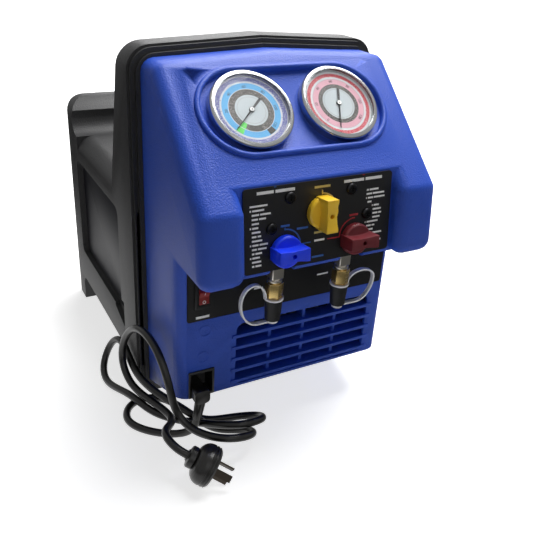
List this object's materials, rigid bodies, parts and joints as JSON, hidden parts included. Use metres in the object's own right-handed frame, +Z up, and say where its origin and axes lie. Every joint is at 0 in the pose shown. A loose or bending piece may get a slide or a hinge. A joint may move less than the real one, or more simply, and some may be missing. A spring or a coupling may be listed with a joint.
{
  "type": "refrigerant recovery machine",
  "caption": "Portable refrigerant recovery machine with two gauges, three valve knobs, capped flare ports, a rocker switch and a mains cord",
  "frame": {"origin": "on the floor under the middle of the machine's box, cord left out", "axes": "+X to the right seen from the controls, +Y from the controls to the rear wall, +Z up"},
  "size_m": [0.2787, 0.4174, 0.362],
  "materials": {
    "black_shell": "fine moulded grain, satin",
    "blue_fascia": "fine moulded grain, satin",
    "panel_black": "printed panel film, satin",
    "black_screws": "black oxide",
    "sheet_steel": "zinc plated",
    "gauge_black": "satin black",
    "dial_face": "printed white",
    "pointer_black": "black paint",
    "gauge_glass": "clear",
    "bezel_chrome": "polished",
    "cast_aluminium": "cast",
    "nickel": "nickel plated",
    "blue_knob": "moulded, half gloss",
    "maroon_knob": "moulded, half gloss",
    "yellow_knob": "moulded, half gloss",
    "brass": "machined",
    "cap_rubber": "moulded",
    "strap_plastic": "milky clear",
    "switch_black": "satin",
    "red_rocker": "half gloss",
    "cord_black": "satin vinyl",
    "plug_brass": "plated",
    "fan_plastic": "moulded",
    "motor_paint": "black paint",
    "copper": "drawn copper"
  },
  "bodies": {
    "machine": {"left_shell": "black_shell", "right_shell": "black_shell", "carry_handle": "black_shell", "front_fascia": "blue_fascia", "control_panel": "panel_black", "panel_screws": "black_screws", "connection_strip": "panel_black", "base_plate": "sheet_steel", "low_gauge_case": "gauge_black", "low_gauge_dial": "dial_face", "low_gauge_lens": "gauge_glass", "low_gauge_bezel": "bezel_chrome", "high_gauge_case": "gauge_black", "high_gauge_dial": "dial_face", "high_gauge_lens": "gauge_glass", "high_gauge_bezel": "bezel_chrome", "valve_manifold": "cast_aluminium", "inlet_adapter": "nickel", "inlet_flare": "brass", "inlet_strap": "strap_plastic", "outlet_adapter": "nickel", "outlet_flare": "brass", "outlet_strap": "strap_plastic", "rocker_housing": "switch_black", "mains_inlet": "switch_black", "cord_connector": "cord_black", "mains_cord": "cord_black", "plug_body": "cord_black", "plug_pins": "plug_brass", "condenser": "cast_aluminium", "fan_shroud": "gauge_black", "motor": "motor_paint", "crankcase": "cast_aluminium", "cylinder_heads": "cast_aluminium", "run_capacitor": "gauge_black", "suction_line": "copper", "discharge_line": "copper"},
    "inlet_valve": {"inlet_knob": "blue_knob", "inlet_stem": "nickel", "inlet_knob_screw": "black_screws"},
    "outlet_valve": {"outlet_knob": "maroon_knob", "outlet_stem": "nickel", "outlet_knob_screw": "black_screws"},
    "mode_valve": {"mode_knob": "yellow_knob", "mode_stem": "nickel", "mode_knob_screw": "black_screws"},
    "rocker": {"rocker_button": "red_rocker"},
    "low_pointer": {"low_gauge_pointer": "pointer_black"},
    "high_pointer": {"high_gauge_pointer": "pointer_black"},
    "fan": {"fan_blade": "fan_plastic", "fan_shaft": "nickel"},
    "inlet_port_cap": {"inlet_cap": "cap_rubber"},
    "outlet_port_cap": {"outlet_cap": "cap_rubber"}
  },
  "joints": [
    {"name": "inlet_valve_turn", "type": "hinge", "parent": "machine", "child": "inlet_valve", "pos_m": [-0.0346, -0.18218, 0.21039], "axis": [0, -0.9934, 0.1149], "range_deg": [0, 90]},
    {"name": "outlet_valve_turn", "type": "hinge", "parent": "machine", "child": "outlet_valve", "pos_m": [0.0346, -0.18218, 0.21039], "axis": [0, -0.9934, 0.1149], "range_deg": [-90, 0]},
    {"name": "mode_valve_turn", "type": "hinge", "parent": "machine", "child": "mode_valve", "pos_m": [0, -0.17887, 0.239], "axis": [0, -0.9934, 0.1149], "range_deg": [-90, 0]},
    {"name": "rocker_tilt", "type": "hinge", "parent": "machine", "child": "rocker", "pos_m": [-0.0897, -0.1395, 0.158], "axis": [1, 0, 0], "range_deg": [-22, 0]},
    {"name": "low_pointer_sweep", "type": "hinge", "parent": "machine", "child": "low_pointer", "pos_m": [-0.0427, -0.1264, 0.3137], "axis": [0, 0.6871, -0.7266], "range_deg": [0, 264]},
    {"name": "high_pointer_sweep", "type": "hinge", "parent": "machine", "child": "high_pointer", "pos_m": [0.0427, -0.1264, 0.3137], "axis": [0, 0.6871, -0.7266], "range_deg": [0, 270]},
    {"name": "fan_spin", "type": "hinge", "parent": "machine", "child": "fan", "pos_m": [0, -0.0205, 0.1135], "axis": [0, 1, 0], "continuous": true},
    {"name": "inlet_cap_pull", "type": "slide", "parent": "machine", "child": "inlet_port_cap", "axis": [0, 0, -1], "range_m": [0, 0.024], "deforming": ["inlet_strap"]},
    {"name": "outlet_cap_pull", "type": "slide", "parent": "machine", "child": "outlet_port_cap", "axis": [0, 0, -1], "range_m": [0, 0.024], "deforming": ["outlet_strap"]}
  ]
}
